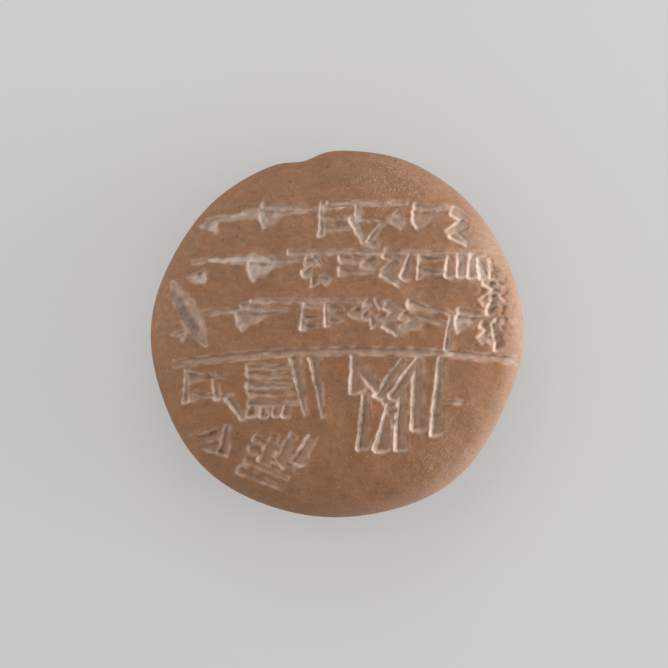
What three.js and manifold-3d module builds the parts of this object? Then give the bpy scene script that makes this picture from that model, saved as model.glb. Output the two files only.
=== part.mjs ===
// Round clay tablet, inscribed on one face, lying on its back. Millimetres, +Z up.
// X runs along the lines of writing, Y towards the tablet's upper edge, and the
// origin is in the middle of the small flat spot that it rests on.
import * as THREE from 'three';
import { mergeVertices } from 'three/addons/utils/BufferGeometryUtils.js';
import Module from 'manifold-3d';

const wasm = await Module();
wasm.setup();

// ---- driving dimensions ----
const width = 80.0;             // across the lines of writing
const meanRadius = 39.65;       // outline before its swells and dents
const edgeHeight = 13.4;        // widest level above the resting spot
const faceDome = 2.2;           // gentle crown of the inscribed face
const faceRoll = 7.0;           // how far the face rolls over at the edge
const faceSquareness = 6;       // higher keeps the face flat further out
const backDome = 5.0;           // crown of the back
const backRoll = 9.0;           // how far the back rolls over at the edge
const backSquareness = 4;
const sectors = 72;
const faceRings = 10;
const backRings = 7;

// the outline departs from a circle by slow waves and by local dents
const swells = [
  { waves: 2, height: 0.43, crest: 40 },
  { waves: 3, height: 0.32, crest: -44 },
  { waves: 5, height: 0.24, crest: 12 },
  { waves: 6, height: 0.14, crest: 3 },
  { waves: 8, height: 0.17, crest: -3 },
];
const dents = [
  { at: 101, spread: 6, depth: 1.33 },
  { at: 84, spread: 12, depth: 0.67 },
];

const clay = { colour: 0x8e674c, roughness: 0.86 };

// ---- body ----
const radians = THREE.MathUtils.degToRad;

// distance from the middle to the edge in one direction
function outlineRadius(angle) {
  const degrees = THREE.MathUtils.radToDeg(angle);
  let radius = meanRadius;
  for (const { waves, height, crest } of swells) {
    radius += height * Math.cos(radians(waves * (degrees - crest)));
  }
  for (const { at, spread, depth } of dents) {
    const away = THREE.MathUtils.euclideanModulo(degrees - at + 180, 360) - 180;
    radius -= depth * Math.exp(-((away / spread) ** 2));
  }
  return radius;
}

// middle of the outline's bounding box, which becomes x = 0, y = 0
function outlineMiddle() {
  const box = new THREE.Box2();
  for (let i = 0; i < 4 * sectors; i++) {
    const angle = (2 * Math.PI * i) / (4 * sectors);
    const reach = outlineRadius(angle);
    box.expandByPoint(new THREE.Vector2(reach * Math.cos(angle), reach * Math.sin(angle)));
  }
  const size = box.getSize(new THREE.Vector2());
  return { centre: box.getCenter(new THREE.Vector2()), scale: width / size.x };
}

const { centre: middle, scale: fit } = outlineMiddle();

// height of the inscribed face, where share runs from 0 in the middle to 1 at the edge
function faceHeight(share) {
  const inside = Math.min(share, 1);
  const roll = Math.sqrt(1 - inside ** faceSquareness);
  return edgeHeight + faceDome * (1 - inside ** 2) + faceRoll * roll;
}

// height of the back, cut flat at the resting spot
function backHeight(share) {
  const roll = Math.sqrt(1 - share ** backSquareness);
  return Math.max(0, edgeHeight - backDome * (1 - share ** 2) - backRoll * roll);
}

// height of the face at a point of the finished tablet
function faceAt(x, y) {
  const px = x / fit + middle.x;
  const py = y / fit + middle.y;
  return faceHeight(Math.hypot(px, py) / outlineRadius(Math.atan2(py, px)));
}

// rings crowd together towards the edge, where the profile turns fastest
function ringShare(i, rings) {
  const s = i / rings;
  return (s * (3 - s * s)) / 2;
}

// share of the radius at which the back leaves the resting spot, found by halving
function restingShare() {
  let low = 0;
  let high = 1;
  for (let i = 0; i < 40; i++) {
    const mid = (low + high) / 2;
    if (backHeight(mid) > 0) high = mid;
    else low = mid;
  }
  return low;
}

function bodyGeometry() {
  const flat = restingShare();
  const profile = [new THREE.Vector2(0, 0), new THREE.Vector2(flat, 0)];
  for (let i = 1; i < backRings; i++) {
    const share = flat + (1 - flat) * ringShare(i, backRings);
    profile.push(new THREE.Vector2(share, backHeight(share)));
  }
  for (let i = faceRings; i > 0; i--) {
    const share = ringShare(i, faceRings);
    profile.push(new THREE.Vector2(share, faceHeight(share)));
  }
  profile.push(new THREE.Vector2(0, faceHeight(0)));
  const geometry = new THREE.LatheGeometry(profile, sectors);
  geometry.rotateX(Math.PI / 2);
  const position = geometry.attributes.position;
  for (let i = 0; i < position.count; i++) {
    const x = position.getX(i);
    const y = position.getY(i);
    const reach = outlineRadius(Math.atan2(y, x));
    position.setXY(i, fit * (x * reach - middle.x), fit * (y * reach - middle.y));
  }
  return geometry;
}

// ---- presses of the stylus ----
// A press is a triangular head that runs out into a narrowing tail. x and y are the
// middle of the head and angle is the way the tail points. tail is how wide the tail
// starts and tip how wide it ends, both as shares of the head.
function press(x, y, angle, length, head, depth, tail = 0.7, tip = 0.15) {
  return { x, y, angle, length, head, depth, tail, tip };
}

const keelSide = 0.3;           // how far the deepest line lies to one side, as a share of the width
const fullDepth = 0.8;          // depth of an ordinary press, which the others are shares of
const headWall = 0.65;          // a head is deepest no further than this from its edge
const longestStep = 8;          // a cutter follows the face in steps no longer than this

// unit vectors along a mark and to its left
function directions(angle) {
  const along = new THREE.Vector2(Math.cos(radians(angle)), Math.sin(radians(angle)));
  return { along, across: new THREE.Vector2(-along.y, along.x) };
}

// Width falls quickly over the head and slowly over the tail. Depth rises from the
// head's edge to the deepest point and then falls to nothing at the tip. The steep
// wall is the upper or the left-hand one.
function pressStations({ x, y, angle, length, head, depth, tail, tip }) {
  const { along, across } = directions(angle);
  const neck = Math.min(length, 1.2 * head);
  const deepest = Math.min(0.32 * neck, headWall);
  const steepSide = along.y + 0.6 * along.x > 0 ? 1 : -1;
  const rest = length - neck;
  const steps = Math.ceil(rest / longestStep);
  const places = [0, deepest, neck];
  for (let i = 1; i <= steps; i++) {
    places.push(neck + (rest * i) / steps);
  }
  return places.map((s) => {
    const spread = (1 - tail) * Math.max(0, 1 - s / neck) + tail + ((tip - tail) * s) / length;
    const sink = fullDepth * depth * Math.min(s / deepest, (length - s) / (length - deepest));
    const at = new THREE.Vector2(x, y).addScaledVector(along, s);
    return { x: at.x, y: at.y, across, width: head * spread, depth: sink, keel: keelSide * steepSide };
  });
}

// Section of a trench at one station: a v whose lowest point lies to one side of the
// middle. Both walls are carried a little past the face, and from there straight up.
function trenchSection({ x, y, across, width: span, depth, keel: side }) {
  const past = 0.15;
  const clear = 2;
  const onFace = (sideways) => {
    const px = x + across.x * sideways;
    const py = y + across.y * sideways;
    return new THREE.Vector3(px, py, faceAt(px, py));
  };
  const keel = onFace(side * span);
  keel.z -= depth;
  const edges = [onFace(-0.5 * span), onFace(0.5 * span)];
  const [right, left] = edges.map((edge) => edge.add(edge.clone().sub(keel).multiplyScalar(past)));
  const raise = (edge) => new THREE.Vector3(edge.x, edge.y, edge.z + clear);
  return [keel, right, raise(right), raise(left), left];
}

// Cutter for a trench: a five-sided cylinder whose rings are the sections in turn.
function trenchGeometry(stations) {
  const sections = stations.map(trenchSection);
  const sides = sections[0].length;
  const steps = sections.length - 1;
  const geometry = new THREE.CylinderGeometry(1, 1, 1, sides, steps);
  const position = geometry.attributes.position;
  for (let i = 0; i < position.count; i++) {
    const corner = new THREE.Vector3().fromBufferAttribute(position, i);
    const section = sections[Math.round((0.5 - corner.y) * steps)];
    const side = Math.round((sides * Math.atan2(corner.x, corner.z)) / (2 * Math.PI));
    const target = section[(side + sides) % sides].clone();
    if (Math.hypot(corner.x, corner.z) < 0.5) {
      target.set(0, 0, 0);
      section.forEach((point) => target.addScaledVector(point, 1 / sides));
    }
    position.setXYZ(i, target.x, target.y, target.z);
  }
  return geometry;
}

// ---- groups of presses, each hung from the upper left corner of its own box ----
const nib = (x, y, w, h) => [press(x + w, y - h / 2, 180, w, h, 1.0, 0.6, 0.1)];

const bar = (x, y, w, h) => [press(x, y - h / 2, 0, w, h, 0.5, 0.9, 0.6)];

// long stroke that widens to the right and rises a little
function lead(x, y, w, h) {
  const thick = 1.9;
  const rise = h - thick;
  const back = 180 + THREE.MathUtils.radToDeg(Math.atan2(rise, w));
  return [press(x + w, y - thick / 2, back, Math.hypot(w, rise), thick, 0.6, 1.0, 0.45)];
}

// two presses whose tails meet at the right
function pair(x, y, w, h) {
  const rise = THREE.MathUtils.radToDeg(Math.atan2(0.4 * h, 0.95 * w));
  return [
    press(x + 0.06 * w, y - 0.22 * h, -2, 0.94 * w, 0.42 * h, 0.9, 0.75, 0.2),
    press(x, y - 0.62 * h, rise, 0.95 * w, 0.76 * h, 1.25, 0.42, 0.08),
  ];
}

// upright with bars to its right
function ladder(x, y, w, h, count) {
  const gap = h / count;
  const marks = [press(x + 0.7, y - h, 90, h, 1.7, 0.9, 0.9, 0.5)];
  for (let i = 0; i < count; i++) {
    marks.push(press(x + 0.5, y - (i + 0.5) * gap, 0, w - 0.5, 0.92 * gap, 0.9, 0.5, 0.15));
  }
  return marks;
}

// uprights with blunt feet, leaning by tilt
function posts(x, y, w, h, count, tilt = 0) {
  const gap = w / count;
  const length = h / Math.cos(radians(tilt));
  const marks = [];
  for (let i = 0; i < count; i++) {
    const head = Math.min(1.05 * gap, 4.4);
    marks.push(press(x + (i + 0.5) * gap, y - h, 90 - tilt, length, head, 1.2, 0.9, 0.5));
  }
  return marks;
}

// uprights that hang down and run out to a point
function spikes(x, y, w, h, count, tilt) {
  const gap = w / count;
  const length = h / Math.cos(radians(tilt));
  const marks = [];
  for (let i = 0; i < count; i++) {
    const head = Math.min(0.7 * gap, 3.2);
    marks.push(press(x + (i + 0.3) * gap, y, tilt - 90, length, head, 1.1, 0.8, 0.25));
  }
  return marks;
}

// flat strokes one under another
function stack(x, y, w, h, count, tilt = 0) {
  const gap = h / count;
  const marks = [];
  for (let i = 0; i < count; i++) {
    const sideways = Math.tan(radians(tilt)) * (i + 0.5) * gap;
    marks.push(press(x + sideways, y - (i + 0.5) * gap, tilt, w, 1.05 * gap, 0.8, 0.8, 0.35));
  }
  return marks;
}

// short presses round a middle, none of them through it
function whirl(x, y, w, h, count, start, turn) {
  const twist = 24;
  const marks = [];
  for (let i = 0; i < count; i++) {
    const angle = start + turn * i;
    const sideways = 0.5 * w * Math.cos(radians(angle));
    const upwards = 0.5 * h * Math.sin(radians(angle));
    const inwards = THREE.MathUtils.radToDeg(Math.atan2(-upwards, -sideways)) + twist;
    const length = 0.8 * Math.hypot(sideways, upwards);
    marks.push(press(x + w / 2 + sideways, y - h / 2 + upwards, inwards, length, 2.4, 1.0, 0.8, 0.4));
  }
  return marks;
}

// zigzag going down, each press starting where the one before ends
function chevrons(x, y, w, h, count) {
  const corner = (i) => new THREE.Vector2(x + (i % 2) * w, y - (h * i) / count);
  const marks = [];
  for (let i = 0; i < count; i++) {
    const start = corner(i);
    const run = corner(i + 1).sub(start);
    const angle = THREE.MathUtils.radToDeg(run.angle());
    marks.push(press(start.x, start.y, angle, 1.1 * run.length(), 2.7, 1.1, 0.9, 0.6));
  }
  return marks;
}

// strokes set around an eye of untouched clay
function loop(x, y, w, h) {
  return [
    press(x + 0.05 * w, y - 0.05 * h, -62, 1.0 * h, 0.24 * w, 1.0, 0.9, 0.7),
    press(x + 0.45 * w, y - 0.9 * h, 52, 0.85 * h, 0.2 * w, 0.9, 0.9, 0.6),
    press(x + 0.1 * w, y - 0.12 * h, -3, 0.85 * w, 0.2 * h, 0.8, 0.9, 0.6),
    press(x + 0.72 * w, y - 0.92 * h, 172, 0.46 * w, 0.28 * h, 0.9, 0.9, 0.6),
  ];
}

// ---- lines of writing ----
// A line sags away from its middle. Each group gives its left end, its drop below the
// line, its width and its height, and then whatever else its function takes.
const lines = [
  {
    top: 28.4, sag: 2.2, middle: 6, groups: [
      [nib, -29.4, 1.7, 4.2, 3.9],
      [lead, -28.4, 0.1, 13.4, 3.6],
      [pair, -17.0, -0.6, 13.2, 6.6],
      [ladder, -4.0, 0.2, 6.6, 7.4, 3],
      [bar, -2.6, 0.0, 17.6, 1.4],
      [posts, 3.6, 0.8, 1.8, 3.0, 1],
      [loop, 2.6, 3.0, 8.4, 7.0],
      [nib, 10.2, 1.2, 3.9, 5.2],
      [pair, 15.8, 0.0, 9.4, 6.4],
      [chevrons, 24.0, 1.4, 3.8, 7.2, 3],
    ],
  },
  {
    top: 17.9, sag: 1.1, middle: 14, groups: [
      [nib, -32.2, 2.2, 4.3, 4.2],
      [lead, -31.8, -0.3, 15.4, 3.0],
      [pair, -19.4, -0.2, 11.8, 6.5],
      [bar, -11.0, -0.1, 44.0, 1.2],
      [whirl, -7.6, 0.6, 7.4, 6.8, 5, 100, 52],
      [stack, 0.0, 0.9, 7.4, 4.6, 2],
      [nib, 4.8, 0.8, 3.9, 4.6],
      [chevrons, 9.6, 0.4, 3.4, 6.6, 3],
      [ladder, 16.8, 0.4, 6.8, 5.8, 2],
      [posts, 22.6, 0.2, 7.4, 5.8, 3],
      [posts, 12.8, 0.6, 2.2, 6.0, 1, 16],
    ],
  },
  {
    top: 7.2, sag: 1.6, middle: 6, groups: [
      [nib, -35.2, 4.0, 3.0, 3.0],
      [lead, -28.8, 0.2, 8.8, 2.4],
      [pair, -21.6, -0.4, 11.2, 6.8],
      [bar, -18.6, -0.3, 28.0, 1.1],
      [ladder, -7.8, 0.2, 4.4, 6.4, 3],
      [ladder, -2.8, 0.4, 4.0, 5.4, 2],
      [nib, 1.8, 1.4, 3.4, 3.2],
      [whirl, 5.0, -0.6, 5.8, 6.6, 5, 75, 66],
      [chevrons, 10.0, 0.6, 3.0, 6.2, 3],
      [stack, 14.8, -0.4, 10.0, 4.4, 2, -12],
      [chevrons, 13.2, 2.8, 4.0, 3.8, 2],
      [posts, 22.4, 3.0, 1.4, 7.4, 1, 8],
      [pair, 24.8, 0.8, 8.4, 5.8],
    ],
  },
];

// groups outside the lines, with the height of their upper edge
const looseGroups = [
  [posts, 30.0, 16.6, 4.4, 5.4, 2, -10],
  [chevrons, 31.0, 11.6, 3.6, 4.6, 2],
  [posts, 31.4, 8.2, 2.4, 4.4, 1, 12],
  [stack, 33.4, 10.6, 4.0, 4.0, 2, -38],
  [bar, 33.2, 3.6, 4.4, 1.6],
  [posts, 33.4, 3.0, 2.6, 6.6, 1, -8],
  [chevrons, 30.6, 2.6, 2.4, 3.8, 2],
  [nib, 31.8, 0.0, 3.0, 3.4],
  [ladder, -32.8, -7.4, 9.2, 7.6, 2],
  [posts, -26.2, -8.4, 1.8, 6.0, 1, -12],
  [stack, -19.6, -6.2, 11.6, 9.6, 5],
  [posts, -19.6, -15.2, 10.2, 2.8, 4],
  [spikes, -10.6, -4.6, 8.6, 12.8, 2, 12],
  [chevrons, -23.6, -13.0, 3.6, 5.0, 1],
  [nib, -31.6, -20.2, 6.4, 3.2],
  [posts, -26.2, -19.6, 3.0, 6.6, 1, 12],
  [nib, -29.4, -22.4, 4.4, 3.8],
  [stack, -17.6, -21.2, 11.0, 8.6, 4, -25],
  [posts, -18.0, -21.4, 10.8, 6.6, 3, 26],
  [posts, 2.4, -4.8, 3.8, 8.2, 1, -4],
  [chevrons, 5.0, -7.2, 5.2, 6.4, 1],
  [posts, 7.0, -5.2, 5.6, 9.0, 2, 33],
  [posts, 4.0, -13.2, 3.0, 12.0, 1, 3],
  [posts, 7.4, -14.2, 3.9, 11.0, 1, 10],
  [stack, 9.8, -15.8, 4.4, 4.4, 2, 22],
  [posts, 11.8, -12.0, 3.4, 13.4, 1, 2],
  [posts, 15.4, -5.4, 4.0, 15.6, 1],
  [posts, 19.4, -4.8, 3.0, 17.0, 1, 4],
  [bar, 21.4, -13.8, 6.0, 1.4],
];

function writtenMarks() {
  const marks = [];
  for (const { top, sag, middle: at, groups } of lines) {
    for (const [group, x, drop, w, ...rest] of groups) {
      const level = top - sag * ((x + w / 2 - at) / 35) ** 2;
      marks.push(...group(x, level - drop, w, ...rest));
    }
  }
  for (const [group, ...sizes] of looseGroups) {
    marks.push(...group(...sizes));
  }
  return marks;
}

// ---- ruled line and gouge ----
const ruledLine = { start: -35.4, end: 38.6, top: -3.7, sag: 2.2, middle: 4, width: 1.6, depth: 0.5 };
const ruledSteps = 12;
const gouge = { x: -31.6, y: 4.3, angle: -62, length: 16.4, width: 4.5, depth: 1.4 };
const gougeSteps = 8;

// one even trench along a slight arch, running out at both ends
function ruledLineStations() {
  const { start, end, top, sag, middle: at, width: span, depth } = ruledLine;
  const across = new THREE.Vector2(0, 1);
  const stations = [];
  for (let i = 0; i <= ruledSteps; i++) {
    const x = start + ((end - start) * i) / ruledSteps;
    const full = i === 0 || i === ruledSteps ? 0 : 1;
    const y = top - sag * ((x - at) / 35) ** 2;
    stations.push({ x, y, across, width: span, depth: depth * full, keel: keelSide });
  }
  return stations;
}

// leaf-shaped trench, widest and deepest halfway
function gougeStations() {
  const { x, y, angle, length, width: span, depth } = gouge;
  const { along, across } = directions(angle);
  const stations = [];
  for (let i = 0; i <= gougeSteps; i++) {
    const share = (2 * i) / gougeSteps - 1;
    const full = 1 - share ** 2;
    const place = new THREE.Vector2(x, y).addScaledVector(along, 0.5 * length * share);
    stations.push({ x: place.x, y: place.y, across, width: span * full, depth: depth * full, keel: 0 });
  }
  return stations;
}

// ---- solid ----
// closed mesh to a solid that can be cut, leaving out the collapsed triangles at the axis
function solid(geometry) {
  const bare = geometry.clone();
  bare.deleteAttribute('normal');
  bare.deleteAttribute('uv');
  const merged = mergeVertices(bare, 1e-4);
  const kept = [];
  for (let i = 0; i < merged.index.count; i += 3) {
    const corner = [merged.index.getX(i), merged.index.getX(i + 1), merged.index.getX(i + 2)];
    if (new Set(corner).size === 3) kept.push(...corner);
  }
  const vertProperties = new Float32Array(merged.attributes.position.array);
  const triVerts = new Uint32Array(kept);
  return new wasm.Manifold(new wasm.Mesh({ numProp: 3, vertProperties, triVerts }));
}

function geometryOf(shape) {
  const { vertProperties, triVerts } = shape.getMesh();
  const geometry = new THREE.BufferGeometry();
  geometry.setAttribute('position', new THREE.BufferAttribute(new Float32Array(vertProperties), 3));
  geometry.setIndex(new THREE.BufferAttribute(new Uint32Array(triVerts), 1));
  geometry.computeVertexNormals();
  return geometry;
}

function inscribedTablet() {
  const trenches = [...writtenMarks().map(pressStations), ruledLineStations(), gougeStations()];
  let body = solid(bodyGeometry());
  for (const stations of trenches) {
    body = body.subtract(solid(trenchGeometry(stations)));
  }
  return geometryOf(body);
}

const material = new THREE.MeshStandardMaterial({
  color: clay.colour,
  roughness: clay.roughness,
  metalness: 0,
});
const tablet = new THREE.Mesh(inscribedTablet(), material);
tablet.name = 'tablet';

const cuneiformTablet = new THREE.Group();
cuneiformTablet.add(tablet);

export default cuneiformTablet;
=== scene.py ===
import bpy
import numpy as np
from math import atan2, cos, degrees, hypot, pi, radians, sin, tan
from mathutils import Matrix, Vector


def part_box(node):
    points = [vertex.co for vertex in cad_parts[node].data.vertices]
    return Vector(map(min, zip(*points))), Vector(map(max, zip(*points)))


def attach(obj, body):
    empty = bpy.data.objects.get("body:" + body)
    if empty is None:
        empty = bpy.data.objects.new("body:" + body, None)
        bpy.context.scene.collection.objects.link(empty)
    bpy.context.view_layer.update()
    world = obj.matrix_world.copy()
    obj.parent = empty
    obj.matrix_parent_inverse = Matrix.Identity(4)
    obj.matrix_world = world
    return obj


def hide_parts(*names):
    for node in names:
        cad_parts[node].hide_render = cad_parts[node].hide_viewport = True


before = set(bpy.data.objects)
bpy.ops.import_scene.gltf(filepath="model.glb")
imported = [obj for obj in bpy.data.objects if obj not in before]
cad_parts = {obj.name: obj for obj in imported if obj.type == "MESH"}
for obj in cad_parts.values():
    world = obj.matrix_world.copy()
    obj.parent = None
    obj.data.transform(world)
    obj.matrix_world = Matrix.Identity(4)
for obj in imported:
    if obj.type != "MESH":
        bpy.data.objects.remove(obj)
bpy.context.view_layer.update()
low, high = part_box("tablet")
mm = 0.001
print("frame loaded: tablet", [round(side / mm, 1) for side in high - low], "mm")

# the lump of clay, in millimetres
lump = dict(
    meanRadius=39.65,            # outline before its swells and dents
    # waves round the edge, their height and the direction of a crest
    swells=[(2, 0.43, 40), (3, 0.32, -44), (5, 0.24, 12), (6, 0.14, 3), (8, 0.17, -3)],
    dents=[(101, 6, 1.33), (84, 12, 0.67)],  # direction, spread, depth
    faceDome=2.2, faceRoll=7.0, faceSquareness=6,
    backDome=5.0, backRoll=9.0, backSquareness=4,
    faceCells=297, backCells=99,  # three face cells meet each back cell along the edge
    undulation=0.16,             # uneven hand-smoothed surface
    grain=0.025, backUndulation=0.22,
    lip=0.12, lipSpread=0.32,    # clay pushed up beside a stroke
    swell=0.16, swellSpread=1.5,  # and further out
    seed=11,
)


def outlineRadius(angle):
    # mean radius, plus slow waves round the edge, minus bell-shaped dents
    radius = np.full_like(angle, lump["meanRadius"])
    for waves, height, crest in lump["swells"]:
        radius += height * np.cos(waves * (angle - radians(crest)))
    for at, spread, depth in lump["dents"]:
        away = (np.degrees(angle) - at + 180) % 360 - 180
        radius -= depth * np.exp(-((away / spread) ** 2))
    return radius


# the outline's own box tells how it is fitted to the solid's box
rimAngles = np.linspace(0, 2 * pi, 721)
rimX = outlineRadius(rimAngles) * np.cos(rimAngles)
rimY = outlineRadius(rimAngles) * np.sin(rimAngles)
middleX, middleY = (rimX.min() + rimX.max()) / 2, (rimY.min() + rimY.max()) / 2
fit = (high.x - low.x) / mm / (rimX.max() - rimX.min())
edgeHeight = (high.z - low.z) / mm - lump["faceDome"] - lump["faceRoll"]


def faceHeight(share):
    # level of the edge, plus a parabola, plus a flat-topped roll that turns down at the edge
    roll = np.sqrt(np.clip(1 - share ** lump["faceSquareness"], 0, 1))
    return edgeHeight + lump["faceDome"] * (1 - share ** 2) + lump["faceRoll"] * roll


def backHeight(share):
    # the same two terms downwards, cut off at the floor
    roll = np.sqrt(np.clip(1 - share ** lump["backSquareness"], 0, 1))
    return np.maximum(0, edgeHeight - lump["backDome"] * (1 - share ** 2) - lump["backRoll"] * roll)


def discGrid(cells, heightOf, steepness=0.5):
    # square grid bent into a disc: rings of the square become rings of the disc, and
    # the rings stand at equal steps along the profile
    u, v = np.meshgrid(np.linspace(-1, 1, cells + 1), np.linspace(-1, 1, cells + 1))
    wide = np.abs(u) > np.abs(v)
    ring = np.where(wide, u, v)
    safe = np.where(ring == 0, 1, ring)
    turn = np.where(wide, pi / 4 * v / safe, pi / 2 - pi / 4 * u / safe)
    angle = np.arctan2(ring * np.sin(turn), ring * np.cos(turn))
    shares = np.sin(np.linspace(0, pi / 2, 4001))
    rise = np.diff(heightOf(shares)) * steepness
    run = np.hypot(np.diff(shares) * lump["meanRadius"], rise)
    travelled = np.concatenate([[0], np.cumsum(run)])
    share = np.interp(np.abs(ring), travelled / travelled[-1], shares)
    reach = share * outlineRadius(angle)
    x = fit * (reach * np.cos(angle) - middleX)
    y = fit * (reach * np.sin(angle) - middleY)
    return x, y, share, np.abs(ring), angle


def waves(x, y, shortest, longest, count, seed):
    # sum of plane waves with random directions and phases, between -1 and 1 for the most part
    rng = np.random.default_rng(seed)
    total = np.zeros_like(x)
    lengths = np.geomspace(shortest, longest, count)
    for length, way, phase in zip(lengths, rng.random(count), rng.random(count)):
        along = x * cos(2 * pi * way) + y * sin(2 * pi * way)
        total += np.cos(2 * pi * (along / length + phase))
    return total / np.sqrt(count)


def step(value, start, end):
    # smooth step from 0 at start to 1 at end
    t = np.clip((value - start) / (end - start), 0, 1)
    return t * t * (3 - 2 * t)


# Presses of the stylus. x and y are the middle of the head, angle is the way the tail
# points, and tail and tip are the tail's widths as shares of the head.
def press(x, y, angle, length, head, depth, tail=0.7, tip=0.15):
    return dict(x=x, y=y, angle=angle, length=length, head=head, depth=depth, tail=tail, tip=tip)


def nib(x, y, w, h):
    return [press(x + w, y - h / 2, 180, w, h, 1.0, 0.6, 0.1)]


def bar(x, y, w, h):
    return [press(x, y - h / 2, 0, w, h, 0.5, 0.9, 0.6)]


def lead(x, y, w, h):  # long stroke that widens to the right and rises a little
    thick = 1.9
    rise = h - thick
    return [press(x + w, y - thick / 2, 180 + degrees(atan2(rise, w)), hypot(w, rise), thick, 0.6, 1.0, 0.45)]


def pair(x, y, w, h):  # two presses whose tails meet at the right
    rise = degrees(atan2(0.4 * h, 0.95 * w))
    return [
        press(x + 0.06 * w, y - 0.22 * h, -2, 0.94 * w, 0.42 * h, 0.9, 0.75, 0.2),
        press(x, y - 0.62 * h, rise, 0.95 * w, 0.76 * h, 1.25, 0.42, 0.08),
    ]


def ladder(x, y, w, h, count):  # upright with bars to its right
    gap = h / count
    bars = [press(x + 0.5, y - (i + 0.5) * gap, 0, w - 0.5, 0.92 * gap, 0.9, 0.5, 0.15) for i in range(count)]
    return [press(x + 0.7, y - h, 90, h, 1.7, 0.9, 0.9, 0.5)] + bars


def posts(x, y, w, h, count, tilt=0):  # uprights with blunt feet
    gap = w / count
    length = h / cos(radians(tilt))
    return [press(x + (i + 0.5) * gap, y - h, 90 - tilt, length, min(1.05 * gap, 4.4), 1.2, 0.9, 0.5)
            for i in range(count)]


def spikes(x, y, w, h, count, tilt=0):  # uprights that hang down and run out to a point
    gap = w / count
    length = h / cos(radians(tilt))
    return [press(x + (i + 0.3) * gap, y, tilt - 90, length, min(0.7 * gap, 3.2), 1.1, 0.8, 0.25)
            for i in range(count)]


def stack(x, y, w, h, count, tilt=0):  # flat strokes one under another
    gap = h / count
    slant = tan(radians(tilt))
    return [press(x + slant * (i + 0.5) * gap, y - (i + 0.5) * gap, tilt, w, 1.05 * gap, 0.8, 0.8, 0.35)
            for i in range(count)]


def whirl(x, y, w, h, count, start, turn, twist=24):  # short presses round a middle, none through it
    marks = []
    for i in range(count):
        sideways = 0.5 * w * cos(radians(start + turn * i))
        upwards = 0.5 * h * sin(radians(start + turn * i))
        length = 0.8 * hypot(sideways, upwards)
        inwards = degrees(atan2(-upwards, -sideways)) + twist
        marks.append(press(x + w / 2 + sideways, y - h / 2 + upwards, inwards, length, 2.4, 1.0, 0.8, 0.4))
    return marks


def chevrons(x, y, w, h, count):  # zigzag going down
    corners = [(x + (i % 2) * w, y - h * i / count) for i in range(count + 1)]
    marks = []
    for (ax, ay), (bx, by) in zip(corners, corners[1:]):
        run = hypot(bx - ax, by - ay)
        marks.append(press(ax, ay, degrees(atan2(by - ay, bx - ax)), 1.1 * run, 2.7, 1.1, 0.9, 0.6))
    return marks


def loop(x, y, w, h):  # strokes round an eye of untouched clay
    return [
        press(x + 0.05 * w, y - 0.05 * h, -62, 1.0 * h, 0.24 * w, 1.0, 0.9, 0.7),
        press(x + 0.45 * w, y - 0.9 * h, 52, 0.85 * h, 0.2 * w, 0.9, 0.9, 0.6),
        press(x + 0.1 * w, y - 0.12 * h, -3, 0.85 * w, 0.2 * h, 0.8, 0.9, 0.6),
        press(x + 0.72 * w, y - 0.92 * h, 172, 0.46 * w, 0.28 * h, 0.9, 0.9, 0.6),
    ]


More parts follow.
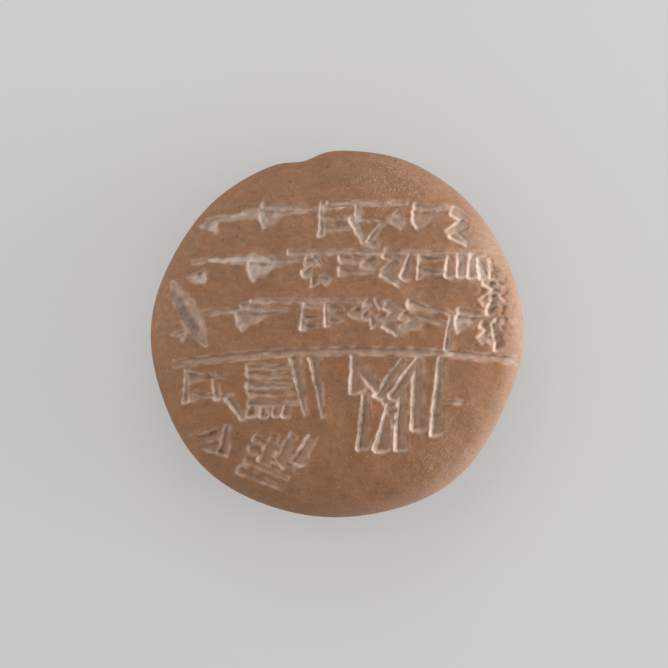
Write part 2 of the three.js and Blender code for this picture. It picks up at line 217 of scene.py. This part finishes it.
# rows of strokes: a line sags away from its middle, and each group has its
# left end, its drop below the line, its width and height, and what its function takes
writing = dict(
    lines=[
        dict(top=28.4, sag=2.2, middle=6, groups=[
            (nib, -29.4, 1.7, 4.2, 3.9), (lead, -28.4, 0.1, 13.4, 3.6), (pair, -17.0, -0.6, 13.2, 6.6),
            (ladder, -4.0, 0.2, 6.6, 7.4, 3), (bar, -2.6, 0.0, 17.6, 1.4), (posts, 3.6, 0.8, 1.8, 3.0, 1),
            (loop, 2.6, 3.0, 8.4, 7.0), (nib, 10.2, 1.2, 3.9, 5.2), (pair, 15.8, 0.0, 9.4, 6.4),
            (chevrons, 24.0, 1.4, 3.8, 7.2, 3),
        ]),
        dict(top=17.9, sag=1.1, middle=14, groups=[
            (nib, -32.2, 2.2, 4.3, 4.2), (lead, -31.8, -0.3, 15.4, 3.0), (pair, -19.4, -0.2, 11.8, 6.5),
            (bar, -11.0, -0.1, 44.0, 1.2), (whirl, -7.6, 0.6, 7.4, 6.8, 5, 100, 52),
            (stack, 0.0, 0.9, 7.4, 4.6, 2), (nib, 4.8, 0.8, 3.9, 4.6), (chevrons, 9.6, 0.4, 3.4, 6.6, 3),
            (ladder, 16.8, 0.4, 6.8, 5.8, 2), (posts, 22.6, 0.2, 7.4, 5.8, 3),
            (posts, 12.8, 0.6, 2.2, 6.0, 1, 16),
        ]),
        dict(top=7.2, sag=1.6, middle=6, groups=[
            (nib, -35.2, 4.0, 3.0, 3.0), (lead, -28.8, 0.2, 8.8, 2.4), (pair, -21.6, -0.4, 11.2, 6.8),
            (bar, -18.6, -0.3, 28.0, 1.1), (ladder, -7.8, 0.2, 4.4, 6.4, 3), (ladder, -2.8, 0.4, 4.0, 5.4, 2),
            (nib, 1.8, 1.4, 3.4, 3.2), (whirl, 5.0, -0.6, 5.8, 6.6, 5, 75, 66),
            (chevrons, 10.0, 0.6, 3.0, 6.2, 3), (stack, 14.8, -0.4, 10.0, 4.4, 2, -12),
            (chevrons, 13.2, 2.8, 4.0, 3.8, 2), (posts, 22.4, 3.0, 1.4, 7.4, 1, 8),
            (pair, 24.8, 0.8, 8.4, 5.8),
        ]),
    ],
    # groups outside the lines give the height of their upper edge
    looseGroups=[
        (posts, 30.0, 16.6, 4.4, 5.4, 2, -10), (chevrons, 31.0, 11.6, 3.6, 4.6, 2),
        (posts, 31.4, 8.2, 2.4, 4.4, 1, 12), (stack, 33.4, 10.6, 4.0, 4.0, 2, -38),
        (bar, 33.2, 3.6, 4.4, 1.6), (posts, 33.4, 3.0, 2.6, 6.6, 1, -8),
        (chevrons, 30.6, 2.6, 2.4, 3.8, 2), (nib, 31.8, 0.0, 3.0, 3.4),
        (ladder, -32.8, -7.4, 9.2, 7.6, 2), (posts, -26.2, -8.4, 1.8, 6.0, 1, -12),
        (stack, -19.6, -6.2, 11.6, 9.6, 5), (posts, -19.6, -15.2, 10.2, 2.8, 4),
        (spikes, -10.6, -4.6, 8.6, 12.8, 2, 12), (chevrons, -23.6, -13.0, 3.6, 5.0, 1),
        (nib, -31.6, -20.2, 6.4, 3.2), (posts, -26.2, -19.6, 3.0, 6.6, 1, 12), (nib, -29.4, -22.4, 4.4, 3.8),
        (stack, -17.6, -21.2, 11.0, 8.6, 4, -25), (posts, -18.0, -21.4, 10.8, 6.6, 3, 26),
        (posts, 2.4, -4.8, 3.8, 8.2, 1, -4), (chevrons, 5.0, -7.2, 5.2, 6.4, 1),
        (posts, 7.0, -5.2, 5.6, 9.0, 2, 33), (posts, 4.0, -13.2, 3.0, 12.0, 1, 3),
        (posts, 7.4, -14.2, 3.9, 11.0, 1, 10), (stack, 9.8, -15.8, 4.4, 4.4, 2, 22),
        (posts, 11.8, -12.0, 3.4, 13.4, 1, 2), (posts, 15.4, -5.4, 4.0, 15.6, 1),
        (posts, 19.4, -4.8, 3.0, 17.0, 1, 4), (bar, 21.4, -13.8, 6.0, 1.4),
    ],
    halfLine=35,                 # from a line's middle to where it has sagged in full
    rule=dict(start=-35.4, end=38.6, top=-3.7, sag=2.2, middle=4, width=1.6, depth=0.5),
    gouge=dict(x=-31.6, y=4.3, angle=-62, length=16.4, width=4.5, depth=1.4),
    burst=dict(x=34.0, y=8.0, width=3.5, height=9.0, depth=0.55, seed=9),  # crumbled clay at the right edge
    keelSide=0.22,               # the deepest line lies at least this share of the width to one side
    wall=(0.3, 0.65),            # and this far from the steep wall's edge: always, and more if it faces +x
    headShare=0.32, headWall=0.65,  # where a head is deepest, as a share of it and at most
    rounding=0.3,                # how far the corners of a head are rounded off, as a share of half of it
    depthShare=0.8,
    floorFlatness=0.62,          # below 1 the floor stays deep and then rises quickly to its edge
    taper=0.6,                   # below 1 a tail stays deep further out
    wobble=0.12,                 # how far the strokes stray from straight
    raggedness=0.07,             # how far their edges stray, in short waves
    flooring=0.2,                # how unevenly deep they are along their length, as a share
    unsteadiness=0.5,            # how unevenly the hand made the strokes, as a share of what follows
    seed=5,
)

# how far an unsteady hand changes a stroke
hand = dict(
    turn=4, shortStroke=6,       # degrees, and less on strokes longer than this
    shift=0.2,
    depth=0.3,                   # share of the depth
    length=0.5,
    slant=0.3,                   # of the head's edge, as a slope
    wall=0.5, leastWall=0.4,     # width of the steep wall, as a share
    dirt=1.6, mostShadeAndDirt=0.6,      # extra painted shade and dirt in the crease
)


def lineHeight(line, x):
    # a parabola that has fallen by the line's sag at the ends
    return line["top"] - line["sag"] * ((x - line["middle"]) / writing["halfLine"]) ** 2


def writtenMarks():
    rng = np.random.default_rng(writing["seed"])
    marks = []
    for line in writing["lines"]:
        for group, x, drop, w, *rest in line["groups"]:
            marks += group(x, lineHeight(line, x + w / 2) - drop, w, *rest)
    for group, *sizes in writing["looseGroups"]:
        marks += group(*sizes)
    for mark in marks:
        unsteady = writing["unsteadiness"] * rng.normal(size=8)
        turn, shift, sideways, deeper, wider, slant, longer, dirt = unsteady
        mark["angle"] += hand["turn"] * turn * min(1, hand["shortStroke"] / mark["length"])
        mark["x"] += hand["shift"] * shift
        mark["y"] += hand["shift"] * sideways
        mark["depth"] *= 1 + hand["depth"] * deeper
        mark["length"] += hand["length"] * longer
        mark["slant"] = hand["slant"] * slant
        mark["wall"] = max(hand["leastWall"], 1 + hand["wall"] * wider)
        mark["dirt"] = min(max(0, hand["dirt"] * dirt), hand["mostShadeAndDirt"])
    return marks


def lengthways(x, y, mark):
    # distances from a mark's start along it and to its left
    way = radians(mark["angle"])
    along = (x - mark["x"]) * cos(way) + (y - mark["y"]) * sin(way)
    aside = (y - mark["y"]) * cos(way) - (x - mark["x"]) * sin(way)
    return along, aside


def pressRelief(x, y, mark):
    # a trench with one steep and one gentle wall: the width falls quickly over the head and
    # slowly over the tail, and the depth rises from the head's edge to its deepest point and
    # falls to nothing at the tip. The steep wall is the upper or the left-hand one.
    length, head = mark["length"], mark["head"]
    neck = min(length, 1.2 * head)
    deepest = min(writing["headShare"] * neck, writing["headWall"])
    way = radians(mark["angle"])
    side = 1 if sin(way) + 0.6 * cos(way) > 0 else -1
    along, leftwards = lengthways(x, y, mark)
    aside = side * leftwards
    shrink = (1 - mark["tail"]) * np.clip(1 - along / neck, 0, 1)
    spread = shrink + mark["tail"] + (mark["tip"] - mark["tail"]) * along / length
    half = np.maximum(head * spread / 2, 0.05)
    always, more = writing["wall"]
    wall = mark["wall"] * (always + more * max(0, side * sin(way)) * (1.2 - 0.7 * along / length))
    keel = np.maximum(half - wall, 2 * half * writing["keelSide"])
    fall = np.clip((length - along) / (length - deepest), 0, None) ** writing["taper"]
    # the head's edge is rounded at its corners and stands a little askew
    inside = along - mark["slant"] * aside - writing["rounding"] * half * np.abs(aside / half) ** 3
    sink = np.where(along > length, -1, np.minimum(inside / deepest, fall))
    steep = (half - aside) / (half - keel)
    gentle = (half + aside) / (half + keel)
    gentle = np.sign(gentle) * np.abs(gentle) ** writing["floorFlatness"]
    across = np.minimum(steep, gentle) * np.clip(sink + 0.35, 0, 1)
    depth = writing["depthShare"] * mark["depth"] * np.minimum(sink, across)
    outside = np.maximum(np.maximum(-inside, along - length), np.abs(aside) - half)
    onWall = step(depth, 0.0, 0.08) * step(aside, keel - 0.1, keel + 0.1)
    onBack = step(depth, 0.0, 0.08) * step(-inside, -deepest - 0.1, 0.1 - deepest)
    # painted highlight: steep walls that face +x, and head backs that face +x or +y, lightened on the sides
    # the lamps light
    paintedHighlight = np.clip(side * sin(way), 0, 1) * onWall
    paintedHighlight += (0.6 * np.clip(cos(way), 0, 1) + 0.5 * np.clip(sin(way), 0, 1)) * onBack
    # painted shade and dirt: a dark line at the foot of the steep wall, and painted shade on steep walls that
    # face down, away from the top lamp
    crease = np.exp(-(((aside - keel + 0.25) / 0.22) ** 2)) * step(depth, 0.15, 0.5)
    dirt = 0.6 + mark["dirt"] * abs(sin(way))
    crease = np.maximum(dirt * crease, 0.4 * np.clip(side * cos(way), 0, 1) * onWall)
    return depth, outside, paintedHighlight, crease


def ruleRelief(x, y):
    # an even trench whose middle sags as the lines do
    rule = writing["rule"]
    half = rule["width"] / 2
    aside = y - lineHeight(rule, x)
    runOut = step(x, rule["start"], rule["start"] + 6) * step(-x, -rule["end"], 1 - rule["end"])
    across = np.minimum((half - aside) / 0.35, (half + aside) / 0.8)
    outside = np.where(runOut > 0, np.abs(aside) - half, 9)
    # painted shade along the rule's upper edge
    crease = 0.9 * np.exp(-(((aside - half + 0.15) / 0.2) ** 2)) * runOut
    return rule["depth"] * np.minimum(across, 1 + 0.2 * aside) * runOut, outside, np.zeros_like(x), crease


def gougeRelief(x, y):
    # a leaf: width and depth fall from the middle to both tips as one minus the square
    gouge = writing["gouge"]
    along, aside = lengthways(x, y, gouge)
    full = 1 - (2 * along / gouge["length"]) ** 2
    half = np.maximum(gouge["width"] / 2 * full, 0.05)
    depth = np.where(full > 0, gouge["depth"] * full * (1 - np.abs(aside) / half), -1)
    # a dark line along the gouge's middle: painted shade and dirt
    crease = 0.5 * np.exp(-((aside / 0.4) ** 2)) * np.clip(full, 0, 1)
    return depth, np.where(full > 0, np.abs(aside) - half, 9), np.zeros_like(x), crease


def carvedRelief(x, y):
    # the deepest trench wins, and the clay that it pushed up stands along its edges.
    # The hand's wobble bends every stroke a little.
    wobble = writing["wobble"]
    ragged = writing["raggedness"]
    bentX = x + wobble * waves(x, y, 4, 16, 12, writing["seed"] + 1)
    bentX += ragged * waves(x, y, 1.1, 3.5, 20, writing["seed"] + 3)
    bentY = y + wobble * waves(x, y, 4, 16, 12, writing["seed"] + 2)
    bentY += ragged * waves(x, y, 1.1, 3.5, 20, writing["seed"] + 4)
    uneven = 1 + writing["flooring"] * waves(x, y, 1.8, 7, 16, writing["seed"] + 5)
    depth, paintedHighlight, crease = np.zeros_like(x), np.zeros_like(x), np.zeros_like(x)
    outside = np.full_like(x, 9.0)
    reach = 3.0

    def cut(where, relief):
        cutDepth, cutOutside, cutHighlight, cutShadeAndDirt = relief
        deeper = cutDepth > depth[where]
        paintedHighlight[where] = np.where(deeper, cutHighlight, paintedHighlight[where])
        crease[where] = np.where(deeper, cutShadeAndDirt, crease[where])
        depth[where] = np.where(deeper, cutDepth, depth[where])
        outside[where] = np.minimum(outside[where], cutOutside)

    for mark in writtenMarks():
        near = np.hypot(x - mark["x"], y - mark["y"]) < mark["length"] + mark["head"] + reach
        cut(near, pressRelief(bentX[near], bentY[near], mark))
    cut(slice(None), ruleRelief(x, y))
    cut(slice(None), gougeRelief(x, y))
    return depth * uneven, outside, paintedHighlight, crease


def soften(values, passes=1):
    # each value moves to a weighted mean with its neighbours, 1-2-1 both ways
    for _ in range(passes):
        padded = np.pad(values, 1, mode="edge")
        rows = (padded[:-2] + 2 * padded[1:-1] + padded[2:]) / 4
        values = (rows[:, :-2] + 2 * rows[:, 1:-1] + rows[:, 2:]) / 4
    return values


def edgeLoop(cells):
    # indices of a square grid's outer vertices, once round
    side = np.arange(cells)
    row = cells + 1
    return np.concatenate([side, side * row + cells, cells * row + cells - side, (cells - side) * row])


def gridFaces(cells):
    corner = (np.arange(cells)[:, None] * (cells + 1) + np.arange(cells)).ravel()
    return np.stack([corner, corner + 1, corner + cells + 2, corner + cells + 1], 1)


# the two discs on the flat map, whose side is 1
flatMap = dict(faceRadius=0.395, faceCentre=0.4, backRadius=0.175, backCentre=0.82)


def makeTablet():
    # face: evaluated twice as fine as the mesh, softened, and every second point kept
    cells = lump["faceCells"]
    x, y, share, ring, angle = discGrid(2 * cells, faceHeight)
    depth, outside, paintedHighlight, crease = carvedRelief(x, y)
    rim = 1 - step(share, 0.93, 1.0)
    uneven = lump["undulation"] * waves(x, y, 7, 30, 14, lump["seed"]) * rim
    fine = lump["grain"] * waves(x, y, 1.2, 4, 30, lump["seed"] + 1) * rim
    burst = writing["burst"]
    broken = np.exp(-(((x - burst["x"]) / burst["width"]) ** 2) - ((y - burst["y"]) / burst["height"]) ** 2)
    crumbs = np.clip(waves(x, y, 1.2, 4, 24, burst["seed"]) + 0.3, 0, 2) * broken * burst["depth"]
    lips = lump["lip"] * np.exp(-((outside / lump["lipSpread"]) ** 2)) * (1 - step(depth, 0.02, 0.2))
    lips += lump["swell"] * np.exp(-((np.maximum(outside, 0) / lump["swellSpread"]) ** 2))
    lips *= np.clip(0.7 + 0.6 * waves(x, y, 2, 9, 12, lump["seed"] + 2), 0, 1.6) * rim
    z = faceHeight(share) + uneven + fine + soften(lips - crumbs - depth * (0.25 + 0.75 * rim))
    face = np.stack([x, y, z], -1)[::2, ::2]
    carved = [soften(part)[::2, ::2].ravel() for part in (depth, outside, paintedHighlight, crease)]
    ringFace, angleFace = ring[::2, ::2], angle[::2, ::2]

    # back: coarser, and its outer ring is joined to the face's edge by a strip
    backCells = lump["backCells"]
    inner = [part[1:-1, 1:-1] for part in discGrid(backCells + 2, backHeight)]
    bx, by, backShare, backRing, backAngle = inner
    bz = backHeight(backShare)
    bz = bz + lump["backUndulation"] * waves(bx, by, 8, 26, 14, lump["seed"] + 3) * step(bz, 0.2, 3)
    back = np.stack([bx, by, np.maximum(bz, 0)], -1)

    points = np.concatenate([face.reshape(-1, 3), back.reshape(-1, 3)]) * mm
    first = (cells + 1) ** 2
    faceLoop, backLoop = edgeLoop(cells), edgeLoop(backCells) + first
    faceQuads = gridFaces(cells)
    backQuads = gridFaces(backCells)[:, ::-1] + first
    here, ahead = backLoop, np.roll(backLoop, -1)
    outer = faceLoop.reshape(-1, 3)
    edge = [outer[:, 0], outer[:, 1], outer[:, 2], np.roll(outer[:, 0], -1)]
    strip = np.concatenate([
        np.stack([here, edge[1], edge[0]], 1), np.stack([here, ahead, edge[1]], 1),
        np.stack([ahead, edge[2], edge[1]], 1), np.stack([ahead, edge[3], edge[2]], 1),
    ])
    mesh = bpy.data.meshes.new("tabletClay")
    mesh.from_pydata(points.tolist(), [], faceQuads.tolist() + backQuads.tolist() + strip.tolist())
    mesh.polygons.foreach_set("use_smooth", np.ones(len(mesh.polygons), bool))

    # one flat map: a large disc for the face and a small one for the back
    corners = np.empty(len(mesh.loops), np.int32)
    mesh.loops.foreach_get("vertex_index", corners)
    rings = np.concatenate([ringFace.ravel(), backRing.ravel()])
    angles = np.concatenate([angleFace.ravel(), backAngle.ravel()])
    onFace = np.arange(len(corners)) < faceQuads.size
    scale = np.where(onFace, flatMap["faceRadius"], flatMap["backRadius"])
    centre = np.where(onFace, flatMap["faceCentre"], flatMap["backCentre"])
    uv = np.stack([centre + scale * rings[corners] * np.cos(angles[corners]),
                   centre + scale * rings[corners] * np.sin(angles[corners])], 1)
    mesh.uv_layers.new(name="OFBake").data.foreach_set("uv", uv.ravel())

    # what the clay's finish follows
    none = np.zeros(len(points) - first)
    measures = clayFinish(face[..., 0].ravel(), face[..., 1].ravel(), *carved)
    for name, values in measures.items():
        layer = mesh.attributes.new(name, "FLOAT", "POINT")
        layer.data.foreach_set("value", np.concatenate([values, none]).astype(np.float32))
    piece = bpy.data.objects.new("tabletClay", mesh)
    bpy.context.collection.objects.link(piece)
    triangles = 2 * len(faceQuads) + 2 * len(backQuads) + len(strip)
    print("tablet made:", len(points), "points,", triangles, "triangles")
    return piece


# what lies on the clay and where. A place is a middle, a spread and an amount.
finish = dict(
    film=0.45, filmAbove=0.2,    # in every stroke, and more in those above the ruled line
    filmOnRule=0.15, filmInGouge=0.05,
    thicker=[
        (-24, 15, 9, 0.45), (-20, 25, 10, 0.1), (-16, -11, 6, 0.25), (-22, -26, 8, -0.35),
        (30, 18, 6, 0.35), (4, 26, 8, 0.2), (24, -4, 8, 0.2),
    ],
    # places where the painted highlight on lit walls is weaker
    dulled=[(-6, -12, 6, 0.55), (-14, -26, 8, 0.45)],
    scratched=[(12, 33, 9, 1.0), (22, -26, 10, 0.5), (30, 24, 6, 0.5)],
    paled=[(30, 17, 5, 0.5)],
    gougeSpread=8, gougeHalf=2.4,
    wornSpread=0.3,              # how far wear reaches from a stroke's edge
    seed=41,
)


def spots(x, y, places):
    # sum of bell-shaped spots
    total = np.zeros_like(x)
    for px, py, spread, amount in places:
        total += amount * np.exp(-((x - px) ** 2 + (y - py) ** 2) / spread ** 2)
    return total


def clayFinish(x, y, depth, outside, paintedHighlight, crease):
    # deposit lies in the strokes, thicker in some places, wear pales their edges, painted highlights pale the
    # walls that face the lamps, painted shade and dirt darken their creases, painted shade darkens the
    # gouge's left half, and a haze lies on the upper half
    seed = finish["seed"]
    rule, gouge = writing["rule"], writing["gouge"]
    pressed = step(depth, 0.04, 0.25)
    thick = finish["film"] + finish["filmAbove"] * step(y, -4, 0) + spots(x, y, finish["thicker"])
    thick += finish["filmOnRule"] * (np.abs(y - lineHeight(rule, x)) < 0.9)
    patchy = np.clip(0.92 + 0.14 * waves(x, y, 1.4, 6, 20, seed), 0, 1.2)
    aside = lengthways(x, y, gouge)[1]
    nearGouge = spots(x, y, [(gouge["x"], gouge["y"], finish["gougeSpread"], 1)])
    inGouge = pressed * nearGouge * (np.abs(aside) < finish["gougeHalf"])
    deposit = np.clip(pressed * thick * patchy + finish["filmInGouge"] * inGouge, 0, 1)
    crease = crease * (1 - 0.8 * step(deposit, 0.6, 0.95))
    # painted shade: the gouge's left half darkened
    grime = np.clip(inGouge * step(-aside, -0.45, 0.75), 0, 1)
    worn = np.exp(-((outside / finish["wornSpread"]) ** 2))
    worn *= np.clip(0.5 + 0.6 * waves(x, y, 2, 9, 12, seed + 1), 0, 1)
    # painted highlight on the walls that face the lamps, weaker in the dulled places; worn edges are added to
    # it
    highlight = paintedHighlight * (1 - spots(x, y, finish["dulled"]))
    wear = np.clip(0.45 * worn + highlight * (0.85 + 0.3 * waves(x, y, 1.2, 5, 16, seed + 2)), 0, 1)
    scratched = np.clip(spots(x, y, finish["scratched"]), 0, 1)
    # painted highlight: paler towards the right-hand edge, the side the lamps light, plus a pale spot
    reach = np.hypot(x, y) / lump["meanRadius"]
    pale = step(reach, 0.88, 1.04) * np.clip((x - 0.3 * y) / 38, 0, 1) + spots(x, y, finish["paled"])
    haze = np.clip(0.15 + 0.7 * step(y, -14, 4) + 0.3 * waves(x, y, 9, 30, 10, seed + 3), 0, 1.3)
    return dict(deposit=deposit, wear=wear, crease=crease, scratched=scratched, grime=grime, pale=pale,
                haze=haze)


class Flow:
    # a value on its way through a material: arithmetic on it adds Math nodes
    def __init__(self, tree, socket):
        self.tree = tree
        self.socket = socket

    def node(self, kind, settings, inputs, output=0):
        made = self.tree.nodes.new(kind)
        for name, value in settings.items():
            if name == "stops":
                self.setStops(made.color_ramp, value)
            else:
                setattr(made, name, value)
        for key, value in inputs.items():
            if isinstance(value, Flow):
                self.tree.links.new(value.socket, made.inputs[key])
            else:
                made.inputs[key].default_value = value
        return Flow(self.tree, made.outputs[output])

    def setStops(self, ramp, stops):
        while len(ramp.elements) < len(stops):
            ramp.elements.new(0.5)
        for element, (place, value) in zip(ramp.elements, stops):
            element.position = place
            element.color = (value, value, value, 1)

    def maths(self, operation, first, second=0.0):
        return self.node("ShaderNodeMath", {"operation": operation}, {0: first, 1: second})

    def __add__(self, other):
        return self.maths("ADD", self, other)

    def __sub__(self, other):
        return self.maths("SUBTRACT", self, other)

    def __mul__(self, other):
        return self.maths("MULTIPLY", self, other)

    def __rsub__(self, other):
        return self.maths("SUBTRACT", other, self)

    __radd__ = __add__
    __rmul__ = __mul__

    def clipped(self):
        return self.node("ShaderNodeClamp", {}, {0: self})

    def noise(self, size, detail=2.0, roughness=0.5, longer=1.0, heading=0.0):
        # size is the rough width of one patch in millimetres, longer its stretch along the heading
        turned = {"Vector": self, "Rotation": (0, 0, radians(heading)), "Scale": (longer, 1, 1)}
        mapped = self.node("ShaderNodeMapping", {"vector_type": "TEXTURE"}, turned)
        inputs = {"Vector": mapped, "Scale": 1 / (size * mm), "Detail": detail, "Roughness": roughness}
        return self.node("ShaderNodeTexNoise", {}, inputs)

    def between(self, start, end):
        # 0 below start, 1 above end
        settings = {"interpolation_type": "SMOOTHSTEP"}
        return self.node("ShaderNodeMapRange", settings, {"Value": self, "From Min": start, "From Max": end})

    def tinted(self, amount, colour):
        settings = {"data_type": "RGBA"}
        return self.node("ShaderNodeMix", settings, {0: amount, 6: self, 7: (*colour, 1)}, 2)

    def toned(self, strength):
        # colour multiplied by a value
        grey = self.node("ShaderNodeCombineColor", {}, {0: strength, 1: strength, 2: strength})
        settings = {"data_type": "RGBA", "blend_type": "MULTIPLY"}
        return self.node("ShaderNodeMix", settings, {0: 1.0, 6: self, 7: grey}, 2)


clay = dict(
    brown=(0.236, 0.109, 0.045),   # the clay's own colour
    red=(0.290, 0.117, 0.043),     # redder patches
    cream=(0.75, 0.56, 0.46),      # worn edges, painted highlights on lit walls and the right-hand edge, and light specks
    dust=(0.42, 0.240, 0.152),     # thin haze over the face
    chalk=(0.74, 0.67, 0.60),      # white grains in the thickest deposit
    # painted shade on the gouge's left half
    grime=(0.18, 0.135, 0.105),
    dark=(0.075, 0.045, 0.030),    # pits, and painted shade and dirt in the creases
    deposit=(0.47, 0.315, 0.232),  # film in the strokes
    ash=(0.58, 0.475, 0.415),      # greyer where it is thick
    roughness=0.56,
)


def makeClay():
    material = bpy.data.materials.new("clay")
    material.use_nodes = True
    tree = material.node_tree
    shader = next(node for node in tree.nodes if node.type == "BSDF_PRINCIPLED")
    place = Flow(tree, tree.nodes.new("ShaderNodeTexCoord").outputs["Object"])

    def painted(name):
        return place.node("ShaderNodeAttribute", {"attribute_name": name}, {}, "Fac")

    deposit, wear, scratched = painted("deposit"), painted("wear"), painted("scratched")
    grime, pale, crease, haze = painted("grime"), painted("pale"), painted("crease"), painted("haze")
    patches = 0.7 * place.noise(6, 4.0, 0.65, 2.0).between(0.35, 0.65)
    mottle = place.noise(2.2, 5.0, 0.68)
    grain = place.noise(0.32, 2.0, 0.6)
    streaks = place.noise(0.7, 3.0, 0.6, 12.0, 4.0)
    specks = place.noise(0.5, 1.0, 0.5).between(0.69, 0.78)
    pits = place.noise(0.8, 1.0, 0.4).between(0.735, 0.80)
    scratches = place.noise(0.3, 2.0, 0.5, 7.0, 62.0).between(0.56, 0.68) * scratched
    flecks = place.noise(0.5, 2.0, 0.6).between(0.57, 0.65)
    film = (deposit * (0.45 + 0.5 * mottle + 0.6 * grain)).clipped()
    dust = (0.08 + 0.28 * haze) * (0.3 + 0.7 * place.noise(1.4, 5.0, 0.7, 1.6).between(0.44, 0.62))
    chalk = place.noise(0.5, 3.0, 0.6).between(0.45, 0.65) * (2.5 * deposit - 1.75).clipped()

    base = place.node("ShaderNodeRGB", {}, {})
    base.socket.default_value = (*clay["brown"], 1)
    colour = base.tinted(patches, clay["red"])
    colour = colour.toned(0.12 + 0.75 * mottle + 0.8 * grain + 0.28 * streaks)
    colour = colour.tinted(dust, clay["dust"])
    colour = colour.tinted(film, clay["deposit"])
    colour = colour.tinted(((2.2 * deposit - 1.4) * (0.5 + grain)).clipped(), clay["ash"])
    colour = colour.tinted(0.5 * chalk, clay["chalk"])
    # painted shade on the gouge's left half, with dark pits in it
    colour = colour.tinted(0.7 * grime, clay["grime"])
    colour = colour.tinted(0.8 * flecks * grime, clay["dark"])
    # painted shade and dirt in the creases
    colour = colour.tinted((crease * (0.1 + 0.7 * mottle)).clipped(), clay["dark"])
    # worn edges, and painted highlights on walls that face the lamps
    colour = colour.tinted(0.85 * wear, clay["cream"])
    # painted highlight towards the right-hand edge
    colour = colour.tinted((0.4 * pale * (0.2 + 1.2 * grain)).clipped(), clay["cream"])
    colour = colour.tinted(0.3 * specks, clay["cream"])
    colour = colour.tinted(0.4 * scratches, clay["cream"])
    colour = colour.tinted(0.7 * pits, clay["dark"])
    relief = 0.8 * grain + 1.4 * mottle + 0.4 * streaks - 0.9 * pits + 0.4 * specks + 0.7 * scratches
    bump = place.node("ShaderNodeBump", {}, {"Strength": 0.7, "Distance": 0.14 * mm, "Height": relief})
    rough = clay["roughness"] + 0.12 * mottle + 0.1 * film

    tree.links.new(colour.socket, shader.inputs["Base Color"])
    tree.links.new(rough.clipped().socket, shader.inputs["Roughness"])
    tree.links.new(bump.socket, shader.inputs["Normal"])
    shader.inputs["Specular IOR Level"].default_value = 0.5
    print("clay finish made")
    return material


tabletClay = makeTablet()
tabletClay.data.materials.append(makeClay())
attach(tabletClay, "root")
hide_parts("tablet")

studio = dict(
    floorSize=6.0,
    floorColour=(0.336, 0.334, 0.331),
    floorGlow=(0.300, 0.299, 0.297),  # a softly lit table, so that shadows stay faint
    floorRoughness=0.9, floorSpecular=0.1,
    air=0.49,                    # light from all round
    viewWidth=143.2 * mm,        # width of the view at the tablet's edge
    viewShift=-0.7 * mm,         # the camera's middle, left of the tablet's
    viewDistance=1.2,
    # direction, elevation, distance, the lamp's two sides, power
    lights=dict(
        rightLow=(2, 6, 0.60, 0.45, 0.12, 2.85),
        rightHigh=(0, 24, 0.60, 0.45, 0.14, 0.8),
        left=(180, 7, 0.60, 0.45, 0.14, 0.8),
        top=(86, 38, 0.60, 0.45, 0.16, 0.75),
        below=(275, 22, 0.60, 0.45, 0.14, 0.2),
        above=(150, 52, 0.60, 0.40, 0.40, 0.4),
    ),
)


def makeFloor():
    half = studio["floorSize"] / 2
    mesh = bpy.data.meshes.new("floor")
    corners = [(-half, -half, 0), (half, -half, 0), (half, half, 0), (-half, half, 0)]
    mesh.from_pydata(corners, [], [(0, 1, 2, 3)])
    floor = bpy.data.objects.new("floor", mesh)
    bpy.context.collection.objects.link(floor)
    material = bpy.data.materials.new("floorPaper")
    material.use_nodes = True
    shader = next(node for node in material.node_tree.nodes if node.type == "BSDF_PRINCIPLED")
    shader.inputs["Base Color"].default_value = (*studio["floorColour"], 1)
    shader.inputs["Roughness"].default_value = studio["floorRoughness"]
    shader.inputs["Specular IOR Level"].default_value = studio["floorSpecular"]
    shader.inputs["Emission Color"].default_value = (*studio["floorGlow"], 1)
    shader.inputs["Emission Strength"].default_value = 1.0
    mesh.materials.append(material)


def aimAt(thing, spot):
    thing.rotation_euler = (spot - thing.location).to_track_quat("-Z", "Y").to_euler()


def makeLights(spot):
    for name, (direction, elevation, distance, width, tall, power) in studio["lights"].items():
        data = bpy.data.lights.new(name, "AREA")
        data.shape = "RECTANGLE"
        data.size, data.size_y = width, tall
        data.energy = power
        lamp = bpy.data.objects.new(name, data)
        flat = distance * cos(radians(elevation))
        sideways, ahead = flat * cos(radians(direction)), flat * sin(radians(direction))
        lamp.location = spot + Vector((sideways, ahead, distance * sin(radians(elevation))))
        bpy.context.collection.objects.link(lamp)
        aimAt(lamp, spot)
    world = bpy.data.worlds.new("studioAir")
    world.use_nodes = True
    world.node_tree.nodes["Background"].inputs["Color"].default_value = (1, 1, 1, 1)
    world.node_tree.nodes["Background"].inputs["Strength"].default_value = studio["air"]
    bpy.context.scene.world = world


def makeCamera(spot):
    data = bpy.data.cameras.new("camera")
    data.lens = data.sensor_width * studio["viewDistance"] / studio["viewWidth"]
    data.clip_end = 20
    camera = bpy.data.objects.new("camera", data)
    camera.location = spot + Vector((studio["viewShift"], 0, studio["viewDistance"]))
    bpy.context.collection.objects.link(camera)
    bpy.context.scene.camera = camera


edgeMiddle = Vector(((low.x + high.x) / 2, (low.y + high.y) / 2, edgeHeight * mm))
makeFloor()
makeLights(edgeMiddle)
makeCamera(edgeMiddle)
bpy.context.scene.view_settings.view_transform = "Standard"
print("studio ready")
